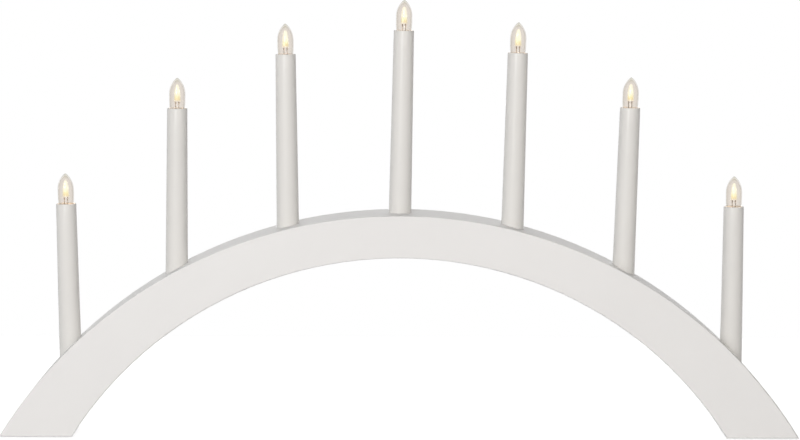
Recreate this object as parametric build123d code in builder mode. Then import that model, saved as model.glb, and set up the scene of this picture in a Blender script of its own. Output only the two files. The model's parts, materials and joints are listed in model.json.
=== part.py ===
"""Electric candle arch: a painted wooden bow that carries seven candle sleeves with screw-in lamps.

Millimetres, +Z up, X along the bow, the front towards -Y.
The origin is on the floor, midway between the feet and midway through the depth.
"""

import os
from math import atan2, cos, degrees, hypot, radians, sin, sqrt

from build123d import *

# the bow, seen from the front
span = 650.0
bow_height = 182.0
crown_thickness = 34.4
foot_width = 59.2
bow_depth = 55.0
edge_round = 1.0

# the felt pads let into the feet
pad_thickness = 2.0
pad_proud = 1.0
pad_margin = 8.0
pad_corner = 5.0

# where the candles stand, in shares of half the span, and how far each one leans to the right
candle_place_shares = (-0.829, -0.560, -0.281, 0.0, 0.282, 0.562, 0.836)
candle_lean_degrees = (-1.1, 0.5, -0.7, 1.0, 1.3, 1.6, 0.1)

# the candle seats: the steeper the bow under a candle, the deeper its seat, give or take a little
crown_seat_depth = 10.0
candle_extra_depths = (2.0, 1.5, 0.6, -1.0, -1.2, -0.6, 0.0)
seat_depth_per_slope = 27.6
seat_play = 0.1
lead_hole_radius = 3.5
lead_hole_start = 5.0

# the candle sleeves, drafted tubes with a ledge inside
sleeve_length = 157.0
sleeve_foot_radius = 9.25
sleeve_top_radius = 8.2
sleeve_wall = 1.35
rim_round = 0.6
ledge_height = 2.0
ledge_width = 0.9

# the lamps
glass_height = 24.5
glass_radius = 6.6
glass_wall = 0.7
glass_belly_height = 11.7
glass_straight_height = 4.7
glass_tip_round = 1.0
glass_tip_thickness = 1.7
hollow_tip_round = 0.9
neck_depth = 5.0
lamp_sink = 9.0
cap_length = 10.0
cap_radius = 4.75
cap_wall = 0.4
cap_floor = 1.0
insulator_height = 1.5
insulator_radius = 2.8
tip_radius = 2.2
tip_height = 1.5
cement_gap = 0.05

# the light source inside each lamp
led_stand = 5.2
led_flange_radius = 2.9
led_flange_height = 1.0
led_lens_radius = 2.5
led_straight_height = 5.0
led_dome_height = 8.0
led_tip_round = 1.1
leg_pitch = 2.54
leg_width = 0.5

# the lamp holders and their contacts
holder_play = 0.1
holder_recess = 0.8
holder_floor = 2.0
holder_skirt_depth = 9.0
skirt_wall = 1.3
shell_wall = 0.35
shell_recess = 0.7
thread_play = 0.1
fit_gap = 0.05
tag_width = 2.5
tag_reach = 4.0
tongue_thickness = 0.4
tongue_width = 3.0
tongue_near = 3.15
tongue_far = 1.6

# the wiring groove under the bow, its cover strip and the screws of the strip
groove_depth = 9.0
groove_width = 12.0
groove_end_margin = 9.0
strip_thickness = 2.0
strip_width = 24.0
strip_end_overlap = 5.0
strip_play = 0.1
screw_row = 9.0
screw_head_radius = 2.2
screw_head_height = 1.2
screw_radius = 1.2
screw_length = 10.0
sink_angle = 82.0

# the wires in the groove, and the connector that joins them to the cord
wire_radius = 0.9
wire_row = 2.2
wire_bend = 5.0
wire_top_gap = 1.0
connector_length = 14.0
connector_width = 6.4
connector_height = 5.5
connector_corner = 0.8
connector_from_inlet = 24.7

# the cord inlet in the back of the right foot
inlet_from_candle = 21.9
inlet_rise = 7.5
inlet_bore_radius = 3.0
inlet_body_radius = 4.0
inlet_flange_radius = 5.8
inlet_flange_thickness = 2.0
inlet_edge_round = 0.6

cut_overrun = 2.0

# lines of the bow that follow from the sizes above
foot_level = pad_proud
half_span = span / 2
inner_half_span = half_span - foot_width
inner_height = bow_height - crown_thickness


def arc_radius(half_width, rise):
    return (half_width**2 + rise**2) / (2 * rise)


outer_radius = arc_radius(half_span, bow_height - foot_level)
outer_centre = bow_height - outer_radius
inner_radius = arc_radius(inner_half_span, inner_height - foot_level)
inner_centre = inner_height - inner_radius

# levels along a candle, measured from the floor of its seat
cap_top = sleeve_length - lamp_sink
cap_bottom = cap_top - cap_length
tip_top = cap_bottom - insulator_height
tongue_top = tip_top - tip_height
socket_floor = tongue_top - tongue_thickness
holder_top = cap_top - holder_recess
skirt_top = socket_floor - holder_floor
ledge_top = skirt_top - holder_skirt_depth
led_level = sleeve_length + led_stand

# radii that follow from each other through the fits
socket_bore_radius = sleeve_top_radius - sleeve_wall
holder_radius = socket_bore_radius - holder_play
shell_inner_radius = cap_radius + thread_play
shell_radius = shell_inner_radius + shell_wall
neck_radius = cap_radius - cap_wall - cement_gap
wire_level = inner_radius + strip_thickness + wire_radius + fit_gap


def candle_section(share, lean, extra_depth):
    """The plane through a candle's axis: x to its right, y up its axis, the origin on its seat."""
    x = share * half_span
    drop = sqrt(outer_radius**2 - x**2)
    depth = crown_seat_depth + seat_depth_per_slope * abs(x) / drop + extra_depth
    up = Vector(sin(radians(lean)), 0, cos(radians(lean)))
    seat = Vector(x, 0, outer_centre + drop) - up * depth
    return Plane(seat, x_dir=(up.Z, 0, -up.X), z_dir=(0, -1, 0))


def candle_axis(section):
    return Axis(section.origin, section.y_dir)


def across(section, level):
    """The plane square to a candle's axis at a level: x to the candle's right, y to the back."""
    return Plane(section.origin, x_dir=section.x_dir, z_dir=section.y_dir).offset(level)


def side_section(section):
    """The plane through a candle's axis that looks along the bow: x to the back, y up the axis."""
    return Plane(section.origin, x_dir=(0, 1, 0), z_dir=section.x_dir)


def bow_angle(point):
    """The angle of a point from the vertical, about the centre of the inner curve."""
    return degrees(atan2(point.X, point.Z - inner_centre))


def bow_point(angle, radius):
    return (radius * sin(radians(angle)), inner_centre + radius * cos(radians(angle)))


def radial_plane(angle, radius, depth):
    """A plane square to a radius of the inner curve, facing its centre."""
    x, z = bow_point(angle, radius)
    return Plane((x, depth, z), x_dir=(0, 1, 0), z_dir=(-x, 0, inner_centre - z))


def ring_sector(inner, outer, low_angle, high_angle):
    """A part of a ring about the centre of the inner curve; its angles are from the vertical."""
    with BuildSketch(Plane.XZ) as sector:
        with BuildLine():
            near = CenterArc((0, inner_centre), inner, 90 - high_angle, high_angle - low_angle)
            far = CenterArc((0, inner_centre), outer, 90 - high_angle, high_angle - low_angle)
            Line(near @ 0, far @ 0)
            Line(near @ 1, far @ 1)
        make_face()
    return sector.sketch


def arc_degrees(length):
    return degrees(length / inner_radius)


sections = [
    candle_section(*candle)
    for candle in zip(candle_place_shares, candle_lean_degrees, candle_extra_depths)
]
candle_angles = [bow_angle(section.origin) for section in sections]
groove_low = candle_angles[0] - arc_degrees(groove_end_margin)
groove_high = candle_angles[-1] + arc_degrees(groove_end_margin)
strip_low = groove_low - arc_degrees(strip_end_overlap)
strip_high = groove_high + arc_degrees(strip_end_overlap)
middle_angles = [(low + high) / 2 for low, high in zip(candle_angles, candle_angles[1:])]
screw_planes = [
    radial_plane(angle, inner_radius, screw_row * (-1) ** number)
    for number, angle in enumerate(middle_angles)
]
inlet_angle = candle_angles[-1] - arc_degrees(inlet_from_candle)
connector_angle = inlet_angle - arc_degrees(connector_from_inlet)
inlet_x, inlet_z = bow_point(inlet_angle, inner_radius + inlet_rise)
inlet_plane = Plane((inlet_x, bow_depth / 2, inlet_z), x_dir=(1, 0, 0), z_dir=(0, 1, 0))
pad_centre = half_span - foot_width / 2
pad_length = foot_width - 2 * pad_margin
pad_depth = bow_depth - 2 * pad_margin


def arch_beam():
    """The bow with its candle seats, lead holes, wiring groove, cord inlet and pad recesses."""
    with BuildPart() as beam:
        with BuildSketch(Plane.XZ):
            with BuildLine():
                outer = ThreePointArc((-half_span, foot_level), (0, bow_height), (half_span, foot_level))
                inner = ThreePointArc(
                    (-inner_half_span, foot_level), (0, inner_height), (inner_half_span, foot_level)
                )
                Line(outer @ 0, inner @ 0)
                Line(outer @ 1, inner @ 1)
            make_face()
        extrude(amount=bow_depth / 2, both=True)
        rims = beam.faces().sort_by(Axis.Y)
        fillet(rims[0].edges() + rims[-1].edges(), edge_round)

        for section, angle in zip(sections, candle_angles):
            with BuildSketch(across(section, 0)):
                Circle(sleeve_foot_radius + seat_play)
            extrude(amount=sleeve_length, mode=Mode.SUBTRACT)
            seat_radius = hypot(section.origin.X, section.origin.Z - inner_centre)
            with BuildSketch(radial_plane(angle, seat_radius + lead_hole_start, 0)):
                Circle(lead_hole_radius)
            extrude(amount=seat_radius + lead_hole_start - inner_radius, mode=Mode.SUBTRACT)

        cut_start = inner_radius - cut_overrun
        groove = ring_sector(cut_start, inner_radius + groove_depth, groove_low, groove_high)
        extrude(groove, amount=groove_width / 2, both=True, mode=Mode.SUBTRACT)
        rebate = ring_sector(cut_start, inner_radius + strip_thickness, strip_low, strip_high)
        extrude(rebate, amount=strip_width / 2 + strip_play, both=True, mode=Mode.SUBTRACT)

        with Locations(*screw_planes):
            Hole(screw_radius + fit_gap, screw_length)

        with BuildSketch(inlet_plane):
            Circle(inlet_body_radius + fit_gap)
        extrude(amount=groove_width / 2 - bow_depth / 2, mode=Mode.SUBTRACT)
        with BuildSketch(inlet_plane):
            Circle(inlet_flange_radius + fit_gap)
        extrude(amount=-inlet_flange_thickness, mode=Mode.SUBTRACT)

        with BuildSketch(Plane.XY.offset(foot_level)):
            with Locations((-pad_centre, 0), (pad_centre, 0)):
                RectangleRounded(pad_length + 2 * fit_gap, pad_depth + 2 * fit_gap, pad_corner + fit_gap)
        extrude(amount=pad_thickness - pad_proud, mode=Mode.SUBTRACT)
    return beam.part


def foot_pad(side):
    with BuildPart() as pad:
        with BuildSketch(Plane.XY):
            with Locations((side * pad_centre, 0)):
                RectangleRounded(pad_length, pad_depth, pad_corner)
        extrude(amount=pad_thickness)
    return pad.part


def groove_cover():
    """The bent strip that closes the wiring groove, with sunk holes for its screws."""
    play = arc_degrees(strip_play)
    strip = ring_sector(inner_radius, inner_radius + strip_thickness, strip_low + play, strip_high - play)
    with BuildPart() as cover:
        extrude(strip, amount=strip_width / 2, both=True)
        with Locations(*screw_planes):
            CounterSinkHole(screw_radius + fit_gap, screw_head_radius + fit_gap, screw_length, sink_angle)
    return cover.part


def cover_screws():
    """The sunk screws of the cover strip, one beside each gap between two candles."""
    with BuildPart() as screws:
        for place in screw_planes:
            profile = Plane(place.origin, x_dir=place.x_dir, z_dir=place.y_dir)
            with BuildSketch(profile):
                with BuildLine():
                    Polyline(
                        (0, 0),
                        (screw_head_radius, 0),
                        (screw_radius, screw_head_height),
                        (screw_radius, screw_length - 2 * screw_radius),
                        (0, screw_length - fit_gap),
                        close=True,
                    )
                make_face()
            revolve(axis=Axis(place.origin, place.z_dir))
    return screws.part


def cord_bush():
    """The flanged bush that lines the cord inlet, flush with the back of the bow."""
    profile = Plane(inlet_plane.origin, x_dir=(1, 0, 0), z_dir=(0, 0, 1))
    with BuildPart() as bush:
        with BuildSketch(profile):
            with BuildLine():
                Polyline(
                    (inlet_bore_radius, 0),
                    (inlet_flange_radius, 0),
                    (inlet_flange_radius, -inlet_flange_thickness),
                    (inlet_body_radius, -inlet_flange_thickness),
                    (inlet_body_radius, groove_width / 2 - bow_depth / 2),
                    (inlet_bore_radius, groove_width / 2 - bow_depth / 2),
                    close=True,
                )
            make_face()
        revolve(axis=Axis(inlet_plane.origin, inlet_plane.z_dir))
        mouth = bush.faces().sort_by(Axis.Y)[-1]
        fillet(mouth.edges(), inlet_edge_round)
    return bush.part


def wire_connector():
    """The splice in the groove where the wires meet the cord."""
    with BuildPart() as connector:
        base = inner_radius + strip_thickness + fit_gap
        with BuildSketch(radial_plane(connector_angle, base + connector_height, wire_row)):
            RectangleRounded(connector_width, connector_length, connector_corner)
        extrude(amount=connector_height)
    return connector.part


def groove_wire(depth, low_angle, high_angle, chains):
    """A wire at one depth in the bow: along the groove, and up into the candles along the chains."""
    with BuildPart() as wire:
        with BuildLine(Plane.XZ.offset(-depth)) as path:
            CenterArc((0, inner_centre), wire_level, 90 - high_angle, high_angle - low_angle)
            for chain in chains:
                Polyline(*chain)
            runs = path.edges()
            bends = [
                corner
                for corner in path.vertices()
                if sum(run.distance_to(corner) < fit_gap for run in runs) > 1
            ]
            fillet(bends, wire_bend)
        with BuildSketch(path.line ^ 0):
            Circle(wire_radius)
        sweep()
    return wire.part


def wire_chain(number):
    """The points of a wire from the groove up to the holder of a candle."""
    section = sections[number]
    top = section.origin + section.y_dir * (skirt_top - wire_top_gap)
    return [
        bow_point(candle_angles[number], wire_level),
        (section.origin.X, section.origin.Z),
        (top.X, top.Z),
    ]


def link_wires():
    """The wires that join neighbouring holders in series, by turns on either side of the groove."""
    wires = []
    for number, (low_angle, high_angle) in enumerate(zip(candle_angles, candle_angles[1:])):
        chains = [wire_chain(number), wire_chain(number + 1)]
        wires.append(groove_wire(wire_row * (-1) ** number, low_angle, high_angle, chains))
    return Compound(children=wires)


def supply_wires():
    """The wires from the connector to the first and the last holder of the series."""
    half_length = arc_degrees(connector_length / 2 + fit_gap)
    last = len(sections) - 1
    back = groove_wire(0, candle_angles[0], connector_angle - half_length, [wire_chain(0)])
    feed_depth = wire_row * (-1) ** last
    feed = groove_wire(feed_depth, connector_angle + half_length, candle_angles[last], [wire_chain(last)])
    return Compound(children=[back, feed])


def candle_sleeve(section):
    """A drafted tube with a rounded rim, and a ledge inside that carries the lamp holder."""
    draft = (sleeve_foot_radius - sleeve_top_radius) / sleeve_length
    ledge_bottom = ledge_top - ledge_height
    ledge_radius = socket_bore_radius - ledge_width
    with BuildPart() as sleeve:
        with BuildSketch(section):
            with BuildLine():
                Polyline(
                    (sleeve_foot_radius - sleeve_wall, 0),
                    (sleeve_foot_radius, 0),
                    (sleeve_top_radius, sleeve_length),
                    (socket_bore_radius, sleeve_length),
                    (socket_bore_radius, ledge_top),
                    (ledge_radius, ledge_top),
                    (ledge_radius, ledge_bottom),
                    (sleeve_foot_radius - draft * ledge_bottom - sleeve_wall, ledge_bottom),
                    close=True,
                )
            make_face()
        revolve(axis=candle_axis(section))
        rim = sleeve.faces().sort_by(candle_axis(section))[-1]
        fillet(rim.edges(), rim_round)
    return sleeve.part


def lamp_holder(section):
    """The holder on the ledge: a socket above, a skirt over the terminals below, slots between them."""
    socket_radius = shell_radius + fit_gap
    skirt_radius = holder_radius - skirt_wall
    tongue_slot = tongue_near + tongue_thickness / 2
    tag_near = sqrt(shell_inner_radius**2 - (tag_width / 2) ** 2) - fit_gap
    with BuildPart() as holder:
        with BuildSketch(section):
            with BuildLine():
                Polyline(
                    (0, socket_floor),
                    (socket_radius, socket_floor),
                    (socket_radius, holder_top),
                    (holder_radius, holder_top),
                    (holder_radius, ledge_top),
                    (skirt_radius, ledge_top),
                    (skirt_radius, skirt_top),
                    (0, skirt_top),
                    close=True,
                )
            make_face()
        revolve(axis=candle_axis(section))
        with BuildSketch(across(section, skirt_top)):
            with Locations((0, -tongue_slot)):
                Rectangle(tongue_width + 2 * fit_gap, tongue_thickness + 2 * fit_gap)
            with Locations((0, (tag_near + socket_radius) / 2)):
                Rectangle(tag_width + 2 * fit_gap, socket_radius - tag_near)
        extrude(amount=holder_floor, mode=Mode.SUBTRACT)
    return holder.part


def screw_shell(section):
    """The brass shell that takes the lamp's thread, with a tag down through the holder."""
    tag_bottom = skirt_top - tag_reach
    with BuildPart() as shell:
        with BuildSketch(section):
            with BuildLine():
                Polyline(
                    (shell_inner_radius, tag_bottom),
                    (shell_radius, tag_bottom),
                    (shell_radius, holder_top - shell_recess),
                    (shell_inner_radius, holder_top - shell_recess),
                    close=True,
                )
            make_face()
        revolve(axis=candle_axis(section))
        with BuildSketch(across(section, tag_bottom)):
            Circle(shell_radius + cut_overrun)
            with Locations((0, shell_radius)):
                Rectangle(tag_width, shell_radius, mode=Mode.SUBTRACT)
        extrude(amount=socket_floor - tag_bottom, mode=Mode.SUBTRACT)
    return shell.part


def contact_tongues():
    """The strips on the socket floors that the lamps' tips press on."""
    with BuildPart() as tongues:
        for section in sections:
            with BuildSketch(side_section(section)):
                with BuildLine():
                    Polyline(
                        (-tongue_near - tongue_thickness, tongue_top),
                        (tongue_far, tongue_top),
                        (tongue_far, socket_floor),
                        (-tongue_near, socket_floor),
                        (-tongue_near, skirt_top - tag_reach),
                        (-tongue_near - tongue_thickness, skirt_top - tag_reach),
                        close=True,
                    )
                make_face()
            extrude(amount=tongue_width / 2, both=True)
    return tongues.part


def tip_start(radius, level, top, tip_round):
    """Where a side that leaves the belly upright bends over into the small round tip on the axis."""
    rise = top - tip_round - level
    side_radius = (radius**2 + rise**2 - tip_round**2) / (2 * (radius - tip_round))
    reach = tip_round / (side_radius - tip_round)
    return (reach * (side_radius - radius), level + rise + reach * rise)


def lamp_glass(section):
    """The clear candle-shaped bulb: a neck in the cap, a full body and a thick drawn tip."""
    neck_bottom = cap_top - neck_depth
    neck_bore = neck_radius - glass_wall
    glass_top = sleeve_length + glass_height
    belly_top = sleeve_length + glass_belly_height
    belly_foot = belly_top - glass_straight_height
    hollow_radius = glass_radius - glass_wall
    hollow_top = glass_top - glass_tip_thickness
    round_start = tip_start(glass_radius, belly_top, glass_top, glass_tip_round)
    hollow_start = tip_start(hollow_radius, belly_top, hollow_top, hollow_tip_round)
    with BuildPart() as glass:
        with BuildSketch(section):
            with BuildLine():
                side = TangentArc((glass_radius, belly_top), round_start, tangent=(0, 1))
                TangentArc(round_start, (0, glass_top), tangent=side % 1)
                hollow = TangentArc((hollow_radius, belly_top), hollow_start, tangent=(0, 1))
                TangentArc(hollow_start, (0, hollow_top), tangent=hollow % 1)
                Line((0, glass_top), (0, hollow_top))
                Line((glass_radius, belly_top), (glass_radius, belly_foot))
                Line((hollow_radius, belly_top), (hollow_radius, belly_foot))
                TangentArc((glass_radius, belly_foot), (neck_radius, cap_top), tangent=(0, -1))
                TangentArc((hollow_radius, belly_foot), (neck_bore, cap_top), tangent=(0, -1))
                Polyline(
                    (neck_radius, cap_top),
                    (neck_radius, neck_bottom),
                    (neck_bore, neck_bottom),
                    (neck_bore, cap_top),
                )
            make_face()
        revolve(axis=candle_axis(section))
    return glass.part


def lamp_cap(section):
    """The screw cap with its insulator, a cup around the neck of the glass."""
    cup_radius = cap_radius - cap_wall
    with BuildPart() as cap:
        with BuildSketch(section):
            with BuildLine():
                Polyline(
                    (0, tip_top),
                    (insulator_radius, tip_top),
                    (cap_radius, cap_bottom),
                    (cap_radius, cap_top),
                    (cup_radius, cap_top),
                    (cup_radius, cap_bottom + cap_floor),
                    (0, cap_bottom + cap_floor),
                    close=True,
                )
            make_face()
        revolve(axis=candle_axis(section))
    return cap.part


def lamp_tip(section):
    """The round contact under the cap."""
    with BuildPart() as tip:
        with BuildSketch(across(section, tongue_top)):
            Circle(tip_radius)
        extrude(amount=tip_height)
        chamfer(tip.faces().sort_by(candle_axis(section))[0].edges(), tip_height / 2)
    return tip.part


def lamp_led(section):
    """The light source: a clear bullet lens with a flange, on two legs that stand in the cap."""
    straight_top = led_level + led_flange_height + led_straight_height
    dome_top = straight_top + led_dome_height
    round_start = tip_start(led_lens_radius, straight_top, dome_top, led_tip_round)
    with BuildPart() as led:
        with BuildSketch(section):
            with BuildLine():
                Polyline(
                    (0, dome_top),
                    (0, led_level),
                    (led_flange_radius, led_level),
                    (led_flange_radius, led_level + led_flange_height),
                    (led_lens_radius, led_level + led_flange_height),
                    (led_lens_radius, straight_top),
                )
                side = TangentArc((led_lens_radius, straight_top), round_start, tangent=(0, 1))
                TangentArc(round_start, (0, dome_top), tangent=side % 1)
            make_face()
        revolve(axis=candle_axis(section))
        with BuildSketch(across(section, led_level)):
            with Locations((-leg_pitch / 2, 0), (leg_pitch / 2, 0)):
                Rectangle(leg_width, leg_width)
        extrude(amount=cap_bottom + cap_floor - led_level)
    return led.part


def save(part, name):
    part.label = name
    export_step(part, f"parts/{name}.step")


os.makedirs("parts", exist_ok=True)

save(arch_beam(), "arch_beam")
save(foot_pad(-1), "foot_pad_left")
save(foot_pad(1), "foot_pad_right")
save(groove_cover(), "groove_cover")
save(cover_screws(), "cover_screws")
save(cord_bush(), "cord_bush")
save(wire_connector(), "wire_connector")
save(link_wires(), "link_wires")
save(supply_wires(), "supply_wires")
save(contact_tongues(), "contact_tongues")

candle_pieces = {
    "candle_sleeve": candle_sleeve,
    "lamp_holder": lamp_holder,
    "screw_shell": screw_shell,
    "lamp_glass": lamp_glass,
    "lamp_cap": lamp_cap,
    "lamp_tip": lamp_tip,
    "lamp_led": lamp_led,
}
for number, section in enumerate(sections, 1):
    for name, make in candle_pieces.items():
        save(make(section), f"{name}_{number}")
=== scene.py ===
"""Looks of the electric candle arch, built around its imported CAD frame. Metres, +Z up, front towards -Y."""

import json
import math

import bmesh
import bpy
from mathutils import Matrix, Vector

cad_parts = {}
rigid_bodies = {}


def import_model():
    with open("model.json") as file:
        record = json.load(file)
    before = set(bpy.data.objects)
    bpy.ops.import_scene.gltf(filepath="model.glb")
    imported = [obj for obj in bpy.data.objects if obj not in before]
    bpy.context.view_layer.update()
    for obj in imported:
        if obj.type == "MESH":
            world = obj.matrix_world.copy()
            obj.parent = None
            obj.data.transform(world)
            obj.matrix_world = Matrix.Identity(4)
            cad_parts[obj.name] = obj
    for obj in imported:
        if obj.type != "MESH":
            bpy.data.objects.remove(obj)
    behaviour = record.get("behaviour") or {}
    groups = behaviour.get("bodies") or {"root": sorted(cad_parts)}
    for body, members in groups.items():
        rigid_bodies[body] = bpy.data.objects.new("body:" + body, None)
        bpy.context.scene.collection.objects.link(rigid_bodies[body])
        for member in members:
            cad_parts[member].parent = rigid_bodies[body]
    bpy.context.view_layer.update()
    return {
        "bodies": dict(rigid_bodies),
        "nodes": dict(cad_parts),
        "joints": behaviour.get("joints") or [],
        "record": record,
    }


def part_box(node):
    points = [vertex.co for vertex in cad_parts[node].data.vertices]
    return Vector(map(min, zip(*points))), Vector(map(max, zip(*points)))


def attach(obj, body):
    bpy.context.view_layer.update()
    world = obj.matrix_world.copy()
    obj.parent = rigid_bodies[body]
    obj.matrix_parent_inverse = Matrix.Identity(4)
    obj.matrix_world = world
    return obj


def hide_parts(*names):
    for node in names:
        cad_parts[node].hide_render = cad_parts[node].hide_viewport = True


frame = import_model()
bpy.context.scene.view_settings.view_transform = "Standard"

CANDLES = range(1, 8)
MM = 0.001

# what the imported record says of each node
BODY_OF = {node: body for body, nodes in frame["record"]["behaviour"]["bodies"].items() for node in nodes}
SLOT_OF = {part["node"]: part["material_slot"] for part in frame["record"]["subparts"]}

# the inner curve of the bow, in millimetres
SPAN = 650.0
BOW_HEIGHT = 182.0
CROWN_THICKNESS = 34.4
FOOT_WIDTH = 59.2
FOOT_LEVEL = 1.0
INNER_HALF = SPAN / 2 - FOOT_WIDTH
INNER_HEIGHT = BOW_HEIGHT - CROWN_THICKNESS
INNER_RISE = INNER_HEIGHT - FOOT_LEVEL
INNER_RADIUS = (INNER_HALF**2 + INNER_RISE**2) / (2 * INNER_RISE)
INNER_CENTRE = INNER_HEIGHT - INNER_RADIUS

# the screws of the cover strip, in millimetres
SCREW_ROW = 9.0
SCREW_HEAD_RADIUS = 2.2
SCREW_HEAD_HEIGHT = 1.2
SCREW_RADIUS = 1.2
SCREW_LENGTH = 9.95
SCREW_POINT = 2 * SCREW_RADIUS
SCREW_PITCH = 0.9
SCREW_THREAD_DEPTH = 0.3
SCREW_NECK = 0.4
RECESS_REACH = 1.4
RECESS_HALF_WIDTH = 0.32
RECESS_DEPTH = 0.9
RECESS_TAPER_SHARE = 0.6

# the felt pads, in millimetres, with the inset and level of each ring of the worn lower edge
PAD_CORNER = 5.0
PAD_WEAR = ((0.55, 0.0), (0.2, 0.12), (0.04, 0.4), (0.0, 0.8))
PAD_FRAY = 0.1
FRAY_FAST = 2.3
FRAY_SLOW = 0.7
FRAY_LEAN = 3.0

# the candle sleeve, in millimetres from the floor of its seat
SLEEVE_LENGTH = 157.0
SLEEVE_FOOT_RADIUS = 9.25
SLEEVE_TOP_RADIUS = 8.2
SLEEVE_WALL = 1.35
SLEEVE_DRAFT = (SLEEVE_FOOT_RADIUS - SLEEVE_TOP_RADIUS) / SLEEVE_LENGTH
RIM_ROUND = 0.6
RIM_LEVEL = SLEEVE_LENGTH - RIM_ROUND
LEDGE_TOP = 123.6
LEDGE_HEIGHT = 2.0
LEDGE_WIDTH = 0.9

# the cap of a lamp and the insulator under it, in millimetres, with levels as for the sleeve
CAP_SINK = 9.0
CAP_LENGTH = 10.0
CAP_TOP = SLEEVE_LENGTH - CAP_SINK
CAP_BOTTOM = CAP_TOP - CAP_LENGTH
CAP_RADIUS = 4.75
CAP_WALL = 0.4
CAP_BORE = CAP_RADIUS - CAP_WALL
CAP_FLOOR = 1.0
CAP_FOOT_INSET = 0.2
CAP_PLAIN_FOOT = 0.4
CAP_PLAIN_TOP = 0.8
CAP_PITCH = 1.814
CAP_THREAD_DEPTH = 0.12
INSULATOR_HEIGHT = 1.5
INSULATOR_RADIUS = 2.8
INSULATOR_GAP = 0.02
INSULATOR_FOOT = CAP_BOTTOM - INSULATOR_HEIGHT + INSULATOR_GAP
INSULATOR_BEVEL = 0.25
INSULATOR_BEVEL_HEIGHT = 0.12
INSULATOR_LIP = 0.05
INSULATOR_LIP_HEIGHT = 0.25

# the bulb, in millimetres, with levels as for the sleeve
GLASS_HEIGHT = 24.5
GLASS_TOP = SLEEVE_LENGTH + GLASS_HEIGHT
GLASS_RADIUS = 6.6
GLASS_WALL = 0.7
GLASS_TIP_ROUND = 1.0
BELLY_LIFT = 11.7
BELLY_HEIGHT = 4.7
BELLY_TOP = SLEEVE_LENGTH + BELLY_LIFT
BELLY_FOOT = BELLY_TOP - BELLY_HEIGHT
NECK_DEPTH = 5.0
NECK_GAP = 0.05
NECK_RADIUS = CAP_BORE - NECK_GAP
TIP_SOLID = 1.7
HOLLOW_TOP = GLASS_TOP - TIP_SOLID
HOLLOW_TIP_ROUND = 0.9

# the light source, in millimetres, with levels as for the sleeve
LED_LIFT = 5.2
LED_LEVEL = SLEEVE_LENGTH + LED_LIFT
FLANGE_RADIUS = 2.9
FLANGE_HEIGHT = 1.0
FLANGE_TOP = LED_LEVEL + FLANGE_HEIGHT
LENS_RADIUS = 2.5
LENS_STRAIGHT = 5.0
LENS_DOME = 8.0
LENS_SHOULDER = FLANGE_TOP + LENS_STRAIGHT
LENS_TOP = LENS_SHOULDER + LENS_DOME
LENS_TIP_ROUND = 1.1
CORE_MARGIN = 0.5
CORE_FOOT = LED_LEVEL + CORE_MARGIN
CORE_TOP = LENS_TOP - CORE_MARGIN
CORE_RADIUS = 1.65
CORE_TIP_ROUND = 0.9
CORE_FOOT_RADIUS = 2.3
CORE_FOOT_HEIGHT = 0.25
CORE_WAIST = 0.9
LEG_PITCH = 2.54
LEG_WIDTH = 0.5
LEG_SHOULDER_WIDTH = 0.85
LEG_SHOULDER_HEIGHT = 1.6
LEG_SHOULDER_TAPER = 0.6
LEG_SHOULDER_TOP = LED_LEVEL - LEG_SHOULDER_HEIGHT
LEG_SHOULDER_FOOT = LEG_SHOULDER_TOP - LEG_SHOULDER_TAPER

# how finely the meshes are divided, and the angle in degrees over which an edge is sharp
ARC_STEPS = 10
RIM_STEPS = 4
SLEEVE_SEGMENTS = 72
SLEEVE_ROWS = 11
GLASS_SEGMENTS = 64
LENS_SEGMENTS = 40
CORE_SEGMENTS = 32
CAP_SEGMENTS = 48
CAP_ROWS = 60
SCREW_SEGMENTS = 48
SCREW_ROWS = 80
PAD_CORNER_STEPS = 14
PAD_SIDE_STEPS = 48
SHARP = 40.0
CAP_SHARP = 60.0
LEG_SHARP = 20.0

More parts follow.
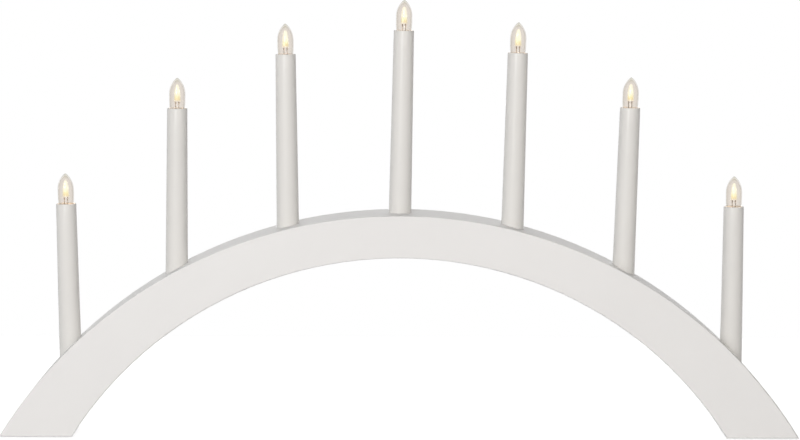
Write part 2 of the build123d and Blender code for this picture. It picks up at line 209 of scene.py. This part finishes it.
# finishes: two tones, roughness, grain and patches to the metre, and the bump's strength and depth in metres
FINISHES = {
    "bow_paint": dict(
        dark=(0.814, 0.805, 0.797), light=(0.834, 0.825, 0.817), rough=(0.46, 0.58),
        grain=420.0, patch=7.0, bump=(0.10, 0.0002), specular=0.3
    ),
    "sleeve_plastic": dict(
        dark=(0.762, 0.749, 0.724), light=(0.782, 0.769, 0.744), rough=(0.20, 0.28),
        grain=500.0, patch=14.0, bump=(0.05, 0.0001), specular=0.3
    ),
    "holder_plastic": dict(
        dark=(0.74, 0.73, 0.70), light=(0.78, 0.77, 0.74), rough=(0.45, 0.6),
        grain=700.0, patch=60.0, bump=(0.08, 0.0001)
    ),
    "strip_plastic": dict(
        dark=(0.77, 0.765, 0.75), light=(0.80, 0.795, 0.78), rough=(0.48, 0.62),
        grain=600.0, patch=12.0, bump=(0.10, 0.0001)
    ),
    "wire_sheath": dict(
        dark=(0.74, 0.74, 0.72), light=(0.79, 0.79, 0.77), rough=(0.4, 0.52),
        grain=500.0, patch=30.0, bump=(0.06, 0.0001)
    ),
    "felt": dict(
        dark=(0.52, 0.51, 0.49), light=(0.68, 0.67, 0.645), rough=(0.9, 1.0),
        grain=1400.0, patch=500.0, bump=(0.7, 0.0005), sheen=0.3
    ),
    "screw_steel": dict(
        dark=(0.50, 0.50, 0.49), light=(0.62, 0.62, 0.61), rough=(0.28, 0.42),
        grain=1500.0, patch=300.0, bump=(0.1, 0.00005), metal=1.0
    ),
    "contact_brass": dict(
        dark=(0.62, 0.44, 0.17), light=(0.76, 0.57, 0.26), rough=(0.22, 0.38),
        grain=900.0, patch=140.0, bump=(0.08, 0.00005), metal=1.0
    ),
    "cap_nickel": dict(
        dark=(0.58, 0.56, 0.52), light=(0.70, 0.68, 0.64), rough=(0.18, 0.32),
        grain=900.0, patch=160.0, bump=(0.06, 0.00005), metal=1.0
    ),
    "tip_solder": dict(
        dark=(0.48, 0.48, 0.47), light=(0.62, 0.62, 0.61), rough=(0.3, 0.5),
        grain=1200.0, patch=400.0, bump=(0.2, 0.0001), metal=1.0
    ),
    "insulator_black": dict(
        dark=(0.025, 0.024, 0.026), light=(0.045, 0.043, 0.044), rough=(0.18, 0.34),
        grain=800.0, patch=200.0, bump=(0.1, 0.00005)
    ),
    "leg_metal": dict(
        dark=(0.10, 0.08, 0.06), light=(0.17, 0.14, 0.11), rough=(0.4, 0.55),
        grain=1500.0, patch=300.0, bump=(0.05, 0.00005), metal=0.6, specular=0.2
    ),
}
TONE_SPAN = (0.3, 0.7)
NOISE_SPAN = (0.25, 0.75)

# clear glass: a tint with painted shade towards the edges by how far it is seen edge on, a tint by the share
# of its height, and streaks along it
# the blend and the tints by facing: the paler tint is the glass's own, the darker one is painted shade at its
# edges
EDGE_SHADE_BLEND = 0.35
GLASS_TINT_AND_EDGE_SHADE = ((0.15, (0.87, 0.834, 0.795)), (0.95, (0.64, 0.612, 0.574)))
TIP_TINT = ((0.88, (1.0, 1.0, 1.0)), (0.95, (0.92, 0.925, 0.89)), (1.0, (0.74, 0.75, 0.69)))
GLASS_IOR = 1.03
GLASS_COAT = 0.25
GLASS_COAT_ROUGH = 0.03
GLASS_STREAKS = 160.0
STREAK_STRETCH = (1.0, 1.0, 0.25)
STREAK_ROUGH = (0.0, 0.03)
STREAK_BUMP = (0.02, 0.0002)

# the numbers of a mix node's colour sockets
MIX_COLOURS = (6, 7)
MIX_RESULT = 2

# the lit core and the clear lens around it: colours and strength by the share of the core's height
CORE_UV = "height"
CORE_GLOW = (
    (0.0, (1.0, 0.93, 0.80)),
    (0.06, (1.0, 0.90, 0.68)),
    (0.11, (0.96, 0.84, 0.48)),
    (0.25, (0.98, 0.92, 0.56)),
    (0.40, (0.98, 0.97, 0.80)),
    (1.0, (0.97, 0.98, 0.87)),
)
CORE_STRENGTH = (0.95, 1.12)
CORE_STRENGTH_SPAN = (0.05, 0.30)
CORE_BASE = (0.06, 0.05, 0.03)
CORE_SPECULAR = 0.1
CORE_GRAIN = 700.0
CORE_ROUGH = (0.3, 0.5)
EPOXY_TINT = (1.0, 0.97, 0.90)
EPOXY_IOR = 1.5
EPOXY_HAZE = 400.0
EPOXY_ROUGH = (0.40, 0.52)

# the photograph's camera: metres, degrees and pixels
CAMERA_PLACE = (-0.0127, -2.0433, 0.4006)
CAMERA_PITCH = 6.28
CAMERA_YAW = 0.356
CAMERA_ROLL = 0.213
FOCAL_PIXELS = 2523.0
FRAME_PIXELS = 800.0
CAMERA_REACH = 50.0

# the studio: metres and watts, with the world's light from the left and from the right
FLOOR_HALF = 1.6
FLOOR_BACK = 0.5
FLOOR_LEVEL = -0.0003
FLOOR_TONE = (0.74, 0.74, 0.74)
FLOOR_GLOW = (0.72, 0.72, 0.72)
FLOOR_ROUGH = 0.9
FLOOR_SPECULAR = 0.1
WHITE = (1.0, 1.0, 1.0)
WORLD_LIGHT = (0.31, 0.11)
SOFTBOXES = {
    "key_light": dict(place=(-0.75, -2.4, 0.9), target=(0.0, 0.0, 0.1), size=(0.7, 1.6), power=34.6),
    "fill_light": dict(
        place=(0.9, -2.5, 0.8), target=(0.1, 0.0, 0.1), size=(1.2, 1.2), power=14.6, colour=(1.0, 0.925, 0.85)
    ),
    "top_light": dict(
        place=(0.0, 1.5, 1.7), target=(0.0, 0.0, 0.15), size=(1.6, 1.0), power=12.0, mirrored=False
    ),
    "back_light": dict(
        place=(0.0, 2.4, 0.3), target=(0.0, 0.0, 0.15), size=(1.8, 0.5), power=25.0, mirrored=False
    ),
}

# the light that a lit lamp throws on its sleeve: millimetres and watts
GLOW_DROP = 2.2
GLOW_LEVEL = LED_LEVEL - GLOW_DROP
GLOW_RADIUS = 2.0
GLOW_POWER = 0.003
GLOW_COLOUR = (1.0, 0.62, 0.30)


def feed(tree, node, inputs):
    """Set a node's inputs: an output of another node is linked, a colour gets its alpha, the rest is set."""
    for key, value in inputs.items():
        socket = node.inputs[key]
        if isinstance(value, bpy.types.NodeSocket):
            tree.links.new(value, socket)
        elif socket.type == "RGBA":
            socket.default_value = (*value, 1.0)
        else:
            socket.default_value = value
    return node


def add_node(tree, kind, inputs=(), **settings):
    """Add a node to a tree, with its settings and its inputs."""
    node = tree.nodes.new(kind)
    for key, value in settings.items():
        setattr(node, key, value)
    return feed(tree, node, dict(inputs))


def noise(tree, scale, detail=3.0, roughness=0.5, stretch=None):
    """Noise over the object's own space, drawn out along the axes that have a low stretch."""
    place = add_node(tree, "ShaderNodeTexCoord").outputs["Object"]
    if stretch:
        place = add_node(tree, "ShaderNodeMapping", {"Vector": place, "Scale": stretch}).outputs["Vector"]
    inputs = {"Vector": place, "Scale": scale, "Detail": detail, "Roughness": roughness}
    return add_node(tree, "ShaderNodeTexNoise", inputs).outputs["Fac"]


def ramp(tree, value, stops):
    """Colours at given places along a value."""
    node = add_node(tree, "ShaderNodeValToRGB", {"Fac": value})
    elements = node.color_ramp.elements
    while len(elements) < len(stops):
        elements.new(0.5)
    for element, (place, colour) in zip(elements, stops):
        element.position = place
        element.color = (*colour, 1.0)
    return node.outputs["Color"]


def spread(tree, value, result, span=NOISE_SPAN):
    """Carry a span of a value over to the span of the result."""
    ends = {"From Min": span[0], "From Max": span[1], "To Min": result[0], "To Max": result[1]}
    return add_node(tree, "ShaderNodeMapRange", {"Value": value, **ends}).outputs["Result"]


def raised(tree, value, strength, depth):
    """A bump that follows a value."""
    inputs = {"Height": value, "Strength": strength, "Distance": depth}
    return add_node(tree, "ShaderNodeBump", inputs).outputs["Normal"]


def seen_rays(tree):
    """1 for rays from the camera, mirror rays and rays through glass, which see the white background."""
    rays = add_node(tree, "ShaderNodeLightPath").outputs
    inputs = {0: rays["Is Camera Ray"], 1: rays["Is Glossy Ray"]}
    direct = add_node(tree, "ShaderNodeMath", inputs, operation="MAXIMUM").outputs["Value"]
    inputs = {0: direct, 1: rays["Is Transmission Ray"]}
    return add_node(tree, "ShaderNodeMath", inputs, operation="MAXIMUM").outputs["Value"]


def new_material(name):
    """A material, its node tree and its shader."""
    material = bpy.data.materials.new(name)
    material.use_nodes = True
    return material, material.node_tree, material.node_tree.nodes["Principled BSDF"]


def textured(name, dark, light, rough, grain, patch, bump, metal=0.0, specular=0.5, sheen=0.0):
    """A surface with a slow change of tone, a finer change of roughness and a fine bump."""
    material, tree, shader = new_material(name)
    tone = noise(tree, patch, detail=4.0, roughness=0.55)
    fine = noise(tree, grain, detail=4.0, roughness=0.6)
    inputs = {
        "Base Color": ramp(tree, tone, tuple(zip(TONE_SPAN, (dark, light)))),
        "Roughness": spread(tree, fine, rough),
        "Normal": raised(tree, fine, *bump),
        "Metallic": metal,
        "Specular IOR Level": specular,
        "Sheen Weight": sheen,
    }
    feed(tree, shader, inputs)
    return material


def clear_glass():
    """Thin glass with painted shade where it is seen edge on, darker in its solid tip, with faint streaks
    along it.
    """
    material, tree, shader = new_material("clear_glass")
    facing = add_node(tree, "ShaderNodeLayerWeight", {"Blend": EDGE_SHADE_BLEND}).outputs["Facing"]
    place = add_node(tree, "ShaderNodeTexCoord").outputs["Generated"]
    height = add_node(tree, "ShaderNodeSeparateXYZ", {"Vector": place}).outputs["Z"]
    # the ramp by facing paints shade at the glass's edges; the ramp by height darkens the solid tip
    tints_and_edge_shade = dict(zip(MIX_COLOURS, (ramp(tree, facing, GLASS_TINT_AND_EDGE_SHADE), ramp(tree, height, TIP_TINT))))
    mix = add_node(tree, "ShaderNodeMix", {"Factor": 1.0, **tints_and_edge_shade}, data_type="RGBA", blend_type="MULTIPLY")
    streak = noise(tree, GLASS_STREAKS, stretch=STREAK_STRETCH)
    inputs = {
        "Base Color": mix.outputs[MIX_RESULT],
        "Transmission Weight": 1.0,
        "IOR": GLASS_IOR,
        "Coat Weight": GLASS_COAT,
        "Coat Roughness": GLASS_COAT_ROUGH,
        "Roughness": spread(tree, streak, STREAK_ROUGH),
        "Normal": raised(tree, streak, *STREAK_BUMP),
    }
    feed(tree, shader, inputs)
    return material


def led_light():
    """The lit core, whose colour and strength change along the height in its UV map."""
    material, tree, shader = new_material("led_light")
    place = add_node(tree, "ShaderNodeUVMap", uv_map=CORE_UV).outputs["UV"]
    height = add_node(tree, "ShaderNodeSeparateXYZ", {"Vector": place}).outputs["Y"]
    inputs = {
        "Base Color": CORE_BASE,
        "Specular IOR Level": CORE_SPECULAR,
        "Emission Color": ramp(tree, height, CORE_GLOW),
        "Emission Strength": spread(tree, height, CORE_STRENGTH, CORE_STRENGTH_SPAN),
        "Roughness": spread(tree, noise(tree, CORE_GRAIN), CORE_ROUGH),
    }
    feed(tree, shader, inputs)
    return material


def clear_epoxy():
    """The clear lens, with a haze that softens the core inside it."""
    material, tree, shader = new_material("clear_epoxy")
    inputs = {
        "Base Color": EPOXY_TINT,
        "Transmission Weight": 1.0,
        "IOR": EPOXY_IOR,
        "Roughness": spread(tree, noise(tree, EPOXY_HAZE), EPOXY_ROUGH),
    }
    feed(tree, shader, inputs)
    return material


def candle_matrix(number):
    """The candle's own frame: x to its right, y to the back, z up its axis, the origin on its seat."""
    joint = next(j for j in frame["joints"] if j["name"] == f"lamp_{number}_turn")
    up = Vector(joint["axis"]).normalized()
    right = Vector((up.z, 0.0, -up.x))
    back = Vector((0.0, 1.0, 0.0))
    matrix = Matrix((right, back, up)).transposed().to_4x4()
    matrix.translation = Vector(joint["pos_m"])
    return matrix


def upright_arc(start, end):
    """An arc that leaves its start parallel to the axis and ends nearer to the axis."""
    inward, along = start[0] - end[0], end[1] - start[1]
    radius = (inward**2 + along**2) / (2 * inward)
    sweep = math.asin(along / radius)
    turns = [sweep * step / ARC_STEPS for step in range(ARC_STEPS + 1)]
    return [(start[0] - radius + radius * math.cos(a), start[1] + radius * math.sin(a)) for a in turns]


def ogive(radius, level, top, tip_round):
    """A side that leaves the belly upright and bends over into a small round tip on the axis."""
    rise = top - tip_round - level
    side_radius = (radius**2 + rise**2 - tip_round**2) / (2 * (radius - tip_round))
    reach = tip_round / (side_radius - tip_round)
    touch = (reach * (side_radius - radius), level + rise + reach * rise)
    first = math.atan2(reach * rise, touch[0])
    turns = [first + (math.pi / 2 - first) * step / ARC_STEPS for step in range(1, ARC_STEPS)]
    tip = [(tip_round * math.cos(a), top - tip_round + tip_round * math.sin(a)) for a in turns]
    return [*upright_arc((radius, level), touch), *tip, (0.0, top)]


def quarter_round(centre, radius, start):
    """A quarter of a circle in profile space, from a start angle in radians."""
    turns = [start + math.pi / 2 * step / RIM_STEPS for step in range(RIM_STEPS + 1)]
    return [(centre[0] + radius * math.cos(a), centre[1] + radius * math.sin(a)) for a in turns]


def band(bm, near, far):
    """Join two rings with faces, where a ring may be a single point."""
    count = max(len(near), len(far))
    for step in range(count):
        after = (step + 1) % count
        if len(near) == 1:
            bm.faces.new((near[0], far[after], far[step]))
        elif len(far) == 1:
            bm.faces.new((near[step], near[after], far[0]))
        else:
            bm.faces.new((near[step], near[after], far[after], far[step]))


def lathe(bm, profile, segments, ripple=None):
    """Turn a profile of (radius, height) in millimetres about the local z axis, and give its rings."""
    rings = []
    for radius, height in profile:
        if radius == 0.0:
            rings.append([bm.verts.new((0.0, 0.0, height * MM))])
            continue
        ring = []
        for step in range(segments):
            turn = 2 * math.pi * step / segments
            r = radius + (ripple(turn, height) if ripple else 0.0)
            ring.append(bm.verts.new((r * math.cos(turn) * MM, r * math.sin(turn) * MM, height * MM)))
        rings.append(ring)
    for near, far in zip(rings, rings[1:]):
        band(bm, near, far)
    return rings


def thread(depth, low, high, pitch):
    """A right-hand thread that runs out at both ends, as a change of radius."""

    def ripple(turn, height):
        if not low < height < high:
            return 0.0
        fade = min(1.0, (height - low) / pitch, (high - height) / pitch)
        wave = 0.5 - 0.5 * math.cos(2 * math.pi * height / pitch - turn)
        return -depth * wave * fade

    return ripple


def threaded_wall(radius, low, high, rows):
    """An upright stretch of a profile, with rows enough to show a thread."""
    return [(radius, low + (high - low) * row / rows) for row in range(rows + 1)]


def add_piece(bm, name, node, material, matrix=Matrix.Identity(4), sharp=SHARP):
    """Finish a mesh, smooth but for its sharp edges, as a piece that stands for a CAD node on its body."""
    bmesh.ops.recalc_face_normals(bm, faces=bm.faces)
    for face in bm.faces:
        face.smooth = True
    for edge in bm.edges:
        edge.smooth = edge.calc_face_angle() <= math.radians(sharp)
    bm.transform(matrix)
    mesh = bpy.data.meshes.new(name)
    bm.to_mesh(mesh)
    bm.free()
    mesh.materials.append(material)
    piece = bpy.data.objects.new(name, mesh)
    bpy.context.collection.objects.link(piece)
    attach(piece, BODY_OF[node])
    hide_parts(node)
    replaced.add(node)
    return piece


def cross_outline(bm, height, share):
    """The twelve corners of the screws' cross recess, in order around the axis, at a share of its size."""
    reach, half = RECESS_REACH * share, RECESS_HALF_WIDTH * share
    corners = []
    for quarter in range(4):
        c, s = math.cos(quarter * math.pi / 2), math.sin(quarter * math.pi / 2)
        for x, y in ((reach, -half), (reach, half), (half, half)):
            corners.append(bm.verts.new(((x * c - y * s) * MM, (x * s + y * c) * MM, height * MM)))
    return corners


def add_screw(bm, matrix):
    """One sunk screw with a cross recess in its head, pointing up its local z axis."""
    first = len(bm.verts)
    shank_end = SCREW_LENGTH - SCREW_POINT
    shank = threaded_wall(SCREW_RADIUS, SCREW_HEAD_HEIGHT, shank_end, SCREW_ROWS)
    turned = thread(SCREW_THREAD_DEPTH, SCREW_HEAD_HEIGHT + SCREW_NECK, shank_end, SCREW_PITCH)
    profile = [(SCREW_HEAD_RADIUS, 0.0), *shank, (0.0, SCREW_LENGTH)]
    head = lathe(bm, profile, SCREW_SEGMENTS, turned)[0]
    mouth = cross_outline(bm, 0.0, 1.0)
    floor = cross_outline(bm, RECESS_DEPTH, RECESS_TAPER_SHARE)
    bm.faces.new(floor)
    band(bm, mouth, floor)
    turns = [math.atan2(corner.co.y, corner.co.x) / (2 * math.pi) for corner in mouth]
    steps = [round(turn * SCREW_SEGMENTS) % SCREW_SEGMENTS for turn in turns]
    for here in range(len(mouth)):
        there = (here + 1) % len(mouth)
        count = (steps[there] - steps[here]) % SCREW_SEGMENTS
        edge = [head[(steps[here] + step) % SCREW_SEGMENTS] for step in range(count, -1, -1)]
        bm.faces.new((mouth[here], mouth[there], *edge))
    bm.verts.ensure_lookup_table()
    bmesh.ops.transform(bm, matrix=matrix, verts=bm.verts[first:])


def make_screws():
    """The six screws of the cover strip, each midway between two candles, by turns front and back."""
    seats = [candle_matrix(number).translation / MM for number in CANDLES]
    angles = [math.atan2(seat.x, seat.z - INNER_CENTRE) for seat in seats]
    bm = bmesh.new()
    for number, (low, high) in enumerate(zip(angles, angles[1:])):
        turn = (low + high) / 2
        outward = Vector((math.sin(turn), 0.0, math.cos(turn)))
        along = Vector((math.cos(turn), 0.0, -math.sin(turn)))
        place = Matrix((along, Vector((0.0, 1.0, 0.0)), outward)).transposed().to_4x4()
        centre = Vector((0.0, SCREW_ROW * (-1) ** number, INNER_CENTRE))
        place.translation = (centre + outward * INNER_RADIUS) * MM
        add_screw(bm, place)
    add_piece(bm, "cover_screws_look", "cover_screws", surfaces["screw_steel"])


def pad_rim(length, depth):
    """The rim of a felt pad about its own middle: each point, with the way out of the pad there."""
    reach_x, reach_y = length / 2 - PAD_CORNER, depth / 2 - PAD_CORNER
    corners = [(reach_x, reach_y), (-reach_x, reach_y), (-reach_x, -reach_y), (reach_x, -reach_y)]
    rim = []
    for quarter, corner in enumerate(corners):
        for step in range(PAD_CORNER_STEPS):
            turn = math.pi / 2 * (quarter + step / PAD_CORNER_STEPS)
            out = Vector((math.cos(turn), math.sin(turn)))
            rim.append((Vector(corner) + out * PAD_CORNER, out))
        turn = math.pi / 2 * (quarter + 1)
        out = Vector((math.cos(turn), math.sin(turn)))
        start, end = (Vector(place) + out * PAD_CORNER for place in (corner, corners[(quarter + 1) % 4]))
        rim += [(start.lerp(end, step / PAD_SIDE_STEPS), out) for step in range(PAD_SIDE_STEPS)]
    return rim


def make_pad(node):
    """A die-cut felt pad in its node's box, with a worn lower edge and a slightly frayed rim."""
    low, high = (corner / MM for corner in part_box(node))
    middle = (low + high) / 2
    rim = pad_rim(high.x - low.x, high.y - low.y)
    bm = bmesh.new()
    rings = []
    for inset, level in (*PAD_WEAR, (0.0, high.z)):
        ring = []
        for count, (point, out) in enumerate(rim):
            wave = math.sin(FRAY_FAST * count) * math.cos(FRAY_SLOW * count + FRAY_LEAN * level)
            x, y = point - out * (inset + PAD_FRAY * (0.5 + 0.5 * wave))
            ring.append(bm.verts.new(((middle.x + x) * MM, y * MM, level * MM)))
        rings.append(ring)
    for near, far in zip(rings, rings[1:]):
        band(bm, near, far)
    bm.faces.new(rings[0])
    bm.faces.new(rings[-1])
    add_piece(bm, f"{node}_look", node, surfaces["felt"])


def sleeve_profile():
    """Closed profile of the candle sleeve: out at the foot, up the draft, over the rim and down inside."""
    bore = SLEEVE_TOP_RADIUS - SLEEVE_WALL
    ledge = bore - LEDGE_WIDTH
    ledge_bottom = LEDGE_TOP - LEDGE_HEIGHT
    levels = [RIM_LEVEL * row / SLEEVE_ROWS for row in range(SLEEVE_ROWS + 1)]
    return [
        *((SLEEVE_FOOT_RADIUS - SLEEVE_DRAFT * level, level) for level in levels),
        *quarter_round((SLEEVE_TOP_RADIUS - RIM_ROUND, RIM_LEVEL), RIM_ROUND, 0.0)[1:],
        *quarter_round((bore + RIM_ROUND, RIM_LEVEL), RIM_ROUND, math.pi / 2),
        (bore, (SLEEVE_LENGTH + LEDGE_TOP) / 2),
        (bore, LEDGE_TOP),
        (ledge, LEDGE_TOP),
        (ledge, ledge_bottom),
        (SLEEVE_FOOT_RADIUS - SLEEVE_DRAFT * ledge_bottom - SLEEVE_WALL, ledge_bottom),
        (SLEEVE_FOOT_RADIUS - SLEEVE_WALL, 0.0),
    ]


def make_sleeve(number, matrix):
    """The drafted candle tube with its rounded rim and the ledge that carries the socket."""
    bm = bmesh.new()
    rings = lathe(bm, sleeve_profile(), SLEEVE_SEGMENTS)
    band(bm, rings[-1], rings[0])
    add_piece(bm, f"sleeve_look_{number}", f"candle_sleeve_{number}", surfaces["sleeve_plastic"], matrix)


def glass_skin(radius, neck, top, tip_round):
    """One skin of the bulb, from the bottom of its neck to its tip."""
    lower = upright_arc((radius, BELLY_FOOT), (neck, CAP_TOP))[::-1]
    return [(neck, CAP_TOP - NECK_DEPTH), *lower, *ogive(radius, BELLY_TOP, top, tip_round)]


def make_glass(number, matrix):
    """The hollow bulb, whose two skins meet at the bottom of the neck."""
    outside = glass_skin(GLASS_RADIUS, NECK_RADIUS, GLASS_TOP, GLASS_TIP_ROUND)
    inside = glass_skin(GLASS_RADIUS - GLASS_WALL, NECK_RADIUS - GLASS_WALL, HOLLOW_TOP, HOLLOW_TIP_ROUND)
    bm = bmesh.new()
    outer, inner = (lathe(bm, profile, GLASS_SEGMENTS) for profile in (outside, inside))
    band(bm, outer[0], inner[0])
    piece = add_piece(bm, f"glass_look_{number}", f"lamp_glass_{number}", surfaces["clear_glass"], matrix)
    piece.visible_shadow = False


def make_lens(number, matrix):
    """The clear lens of the light source, with its flange."""
    profile = [
        (0.0, LED_LEVEL),
        (FLANGE_RADIUS, LED_LEVEL),
        (FLANGE_RADIUS, FLANGE_TOP),
        (LENS_RADIUS, FLANGE_TOP),
        *ogive(LENS_RADIUS, LENS_SHOULDER, LENS_TOP, LENS_TIP_ROUND),
    ]
    bm = bmesh.new()
    lathe(bm, profile, LENS_SEGMENTS)
    piece = add_piece(bm, f"led_lens_{number}", f"lamp_led_{number}", surfaces["clear_epoxy"], matrix)
    piece.visible_shadow = False


def make_core(number, matrix):
    """The glowing core inside the lens, with its height in a UV map."""
    profile = [
        (0.0, CORE_FOOT),
        (CORE_FOOT_RADIUS, CORE_FOOT),
        (CORE_FOOT_RADIUS, CORE_FOOT + CORE_FOOT_HEIGHT),
        (CORE_RADIUS, CORE_FOOT + CORE_WAIST),
        *ogive(CORE_RADIUS, LENS_SHOULDER, CORE_TOP, CORE_TIP_ROUND),
    ]
    bm = bmesh.new()
    lathe(bm, profile, CORE_SEGMENTS)
    layer = bm.loops.layers.uv.new(CORE_UV)
    for face in bm.faces:
        for loop in face.loops:
            turn = math.atan2(loop.vert.co.y, loop.vert.co.x) / (2 * math.pi)
            loop[layer].uv = (turn + 0.5, (loop.vert.co.z / MM - CORE_FOOT) / (CORE_TOP - CORE_FOOT))
    add_piece(bm, f"led_core_{number}", f"lamp_led_{number}", surfaces["led_light"], matrix)


def make_legs(number, matrix):
    """The two square legs of the light source, wider at the shoulder under its flange."""
    rows = (
        (LEG_WIDTH, CAP_BOTTOM + CAP_FLOOR),
        (LEG_WIDTH, LEG_SHOULDER_FOOT),
        (LEG_SHOULDER_WIDTH, LEG_SHOULDER_TOP),
        (LEG_SHOULDER_WIDTH, LED_LEVEL),
    )
    bm = bmesh.new()
    for side in (-1, 1):
        x, d = side * LEG_PITCH / 2, LEG_WIDTH / 2
        rings = []
        for width, level in rows:
            w = width / 2
            corners = ((x - w, -d), (x + w, -d), (x + w, d), (x - w, d))
            rings.append([bm.verts.new((px * MM, py * MM, level * MM)) for px, py in corners])
        for near, far in zip(rings, rings[1:]):
            band(bm, near, far)
        bm.faces.new(rings[0])
        bm.faces.new(rings[-1])
    add_piece(bm, f"led_legs_{number}", f"lamp_led_{number}", surfaces["leg_metal"], matrix, LEG_SHARP)


def make_cap(number, matrix):
    """The cup of the screw cap, with a thread around it."""
    wall = threaded_wall(CAP_RADIUS, CAP_BOTTOM, CAP_TOP, CAP_ROWS)
    turned = thread(CAP_THREAD_DEPTH, CAP_BOTTOM + CAP_PLAIN_FOOT, CAP_TOP - CAP_PLAIN_TOP, CAP_PITCH)
    floor = CAP_BOTTOM + CAP_FLOOR
    bm = bmesh.new()
    outer = lathe(bm, wall, CAP_SEGMENTS, turned)
    inner = lathe(bm, [(CAP_BORE, CAP_TOP), (CAP_BORE, floor), (0.0, floor)], CAP_SEGMENTS)
    base = lathe(bm, [(CAP_RADIUS - CAP_FOOT_INSET, CAP_BOTTOM), (0.0, CAP_BOTTOM)], CAP_SEGMENTS)
    band(bm, outer[-1], inner[0])
    band(bm, outer[0], base[0])
    add_piece(bm, f"cap_look_{number}", f"lamp_cap_{number}", surfaces["cap_nickel"], matrix, CAP_SHARP)


def make_insulator(number, matrix):
    """The black insulator between the cap and the contact under it."""
    top = CAP_BOTTOM - INSULATOR_GAP
    profile = [
        (0.0, INSULATOR_FOOT),
        (INSULATOR_RADIUS - INSULATOR_BEVEL, INSULATOR_FOOT),
        (INSULATOR_RADIUS, INSULATOR_FOOT + INSULATOR_BEVEL_HEIGHT),
        (CAP_BORE - INSULATOR_LIP, CAP_BOTTOM - INSULATOR_LIP_HEIGHT),
        (CAP_BORE, top),
        (0.0, top),
    ]
    bm = bmesh.new()
    lathe(bm, profile, CAP_SEGMENTS)
    add_piece(bm, f"insulator_look_{number}", f"lamp_cap_{number}", surfaces["insulator_black"], matrix)


def dress_nodes():
    """Give each CAD node that keeps its own shape the surface of its slot."""
    for node, slot in SLOT_OF.items():
        if node not in replaced:
            mesh = frame["nodes"][node].data
            mesh.materials.clear()
            mesh.materials.append(surfaces[slot])


def add_camera():
    """The photograph's camera."""
    pitch, yaw, roll = (math.radians(angle) for angle in (CAMERA_PITCH, CAMERA_YAW, CAMERA_ROLL))
    ahead = Vector((math.sin(yaw) * math.cos(pitch), math.cos(yaw) * math.cos(pitch), -math.sin(pitch)))
    level = Vector((math.cos(yaw), -math.sin(yaw), 0.0))
    upward = level.cross(ahead)
    right = level * math.cos(roll) + upward * math.sin(roll)
    above = -level * math.sin(roll) + upward * math.cos(roll)
    lens = bpy.data.cameras.new("photo_camera")
    lens.lens = FOCAL_PIXELS / FRAME_PIXELS * lens.sensor_width
    lens.clip_end = CAMERA_REACH
    camera = bpy.data.objects.new("photo_camera", lens)
    bpy.context.collection.objects.link(camera)
    pose = Matrix((right, above, -ahead)).transposed().to_4x4()
    pose.translation = Vector(CAMERA_PLACE)
    camera.matrix_world = pose
    bpy.context.scene.camera = camera


def add_floor():
    """A pale floor that is white to the camera and keeps the shadow of the arch."""
    corners = [
        (-FLOOR_HALF, -FLOOR_HALF, FLOOR_LEVEL),
        (FLOOR_HALF, -FLOOR_HALF, FLOOR_LEVEL),
        (FLOOR_HALF, FLOOR_BACK, FLOOR_LEVEL),
        (-FLOOR_HALF, FLOOR_BACK, FLOOR_LEVEL),
    ]
    mesh = bpy.data.meshes.new("floor")
    mesh.from_pydata(corners, [], [(0, 1, 2, 3)])
    floor = bpy.data.objects.new("floor", mesh)
    bpy.context.collection.objects.link(floor)
    material, tree, shader = new_material("floor_white")
    inputs = {
        "Base Color": FLOOR_TONE,
        "Roughness": FLOOR_ROUGH,
        "Specular IOR Level": FLOOR_SPECULAR,
        "Emission Color": FLOOR_GLOW,
        "Emission Strength": seen_rays(tree),
    }
    feed(tree, shader, inputs)
    mesh.materials.append(material)


def add_world():
    """A world that is white where it is seen, and else gives a pale light, stronger from the left."""
    world = bpy.data.worlds.new("studio")
    bpy.context.scene.world = world
    world.use_nodes = True
    tree = world.node_tree
    direction = add_node(tree, "ShaderNodeTexCoord").outputs["Generated"]
    across = add_node(tree, "ShaderNodeSeparateXYZ", {"Vector": direction}).outputs["X"]
    strength = spread(tree, across, WORLD_LIGHT, (-1.0, 1.0))
    light = feed(tree, tree.nodes["Background"], {"Color": WHITE, "Strength": strength})
    white = add_node(tree, "ShaderNodeBackground", {"Color": WHITE})
    inputs = {"Fac": seen_rays(tree), 1: light.outputs["Background"], 2: white.outputs["Background"]}
    mix = add_node(tree, "ShaderNodeMixShader", inputs)
    feed(tree, tree.nodes["World Output"], {"Surface": mix.outputs["Shader"]})


def add_softbox(name, place, target, size, power, colour=WHITE, mirrored=True):
    """A studio lamp that faces its target, and that shows in mirrors and glass unless told otherwise."""
    light = bpy.data.lights.new(name, "AREA")
    light.shape = "RECTANGLE"
    light.size, light.size_y = size
    light.energy = power
    light.color = colour
    lamp = bpy.data.objects.new(name, light)
    bpy.context.collection.objects.link(lamp)
    lamp.location = place
    lamp.rotation_euler = (Vector(target) - Vector(place)).to_track_quat("-Z", "Y").to_euler()
    lamp.visible_glossy = lamp.visible_transmission = mirrored


def add_glow(number, matrix):
    """The warm light that a lit lamp throws on its own sleeve; it moves with the lamp."""
    light = bpy.data.lights.new(f"glow_{number}", "POINT")
    light.energy = GLOW_POWER
    light.color = GLOW_COLOUR
    light.shadow_soft_size = GLOW_RADIUS * MM
    lamp = bpy.data.objects.new(f"glow_{number}", light)
    bpy.context.collection.objects.link(lamp)
    lamp.visible_camera = lamp.visible_glossy = lamp.visible_transmission = False
    lamp.parent = frame["bodies"][f"lamp_{number}"]
    lamp.location = matrix @ Vector((0.0, 0.0, GLOW_LEVEL * MM))


surfaces = {name: textured(name, **finish) for name, finish in FINISHES.items()}
surfaces["clear_glass"] = clear_glass()
surfaces["led_light"] = led_light()
surfaces["clear_epoxy"] = clear_epoxy()

replaced = set()
make_screws()
make_pad("foot_pad_left")
make_pad("foot_pad_right")
for number in CANDLES:
    placed = candle_matrix(number)
    for make in (make_sleeve, make_glass, make_lens, make_core, make_legs, make_cap, make_insulator):
        make(number, placed)
dress_nodes()

add_camera()
add_floor()
add_world()
for name, settings in SOFTBOXES.items():
    add_softbox(name, **settings)
for number in CANDLES:
    add_glow(number, candle_matrix(number))
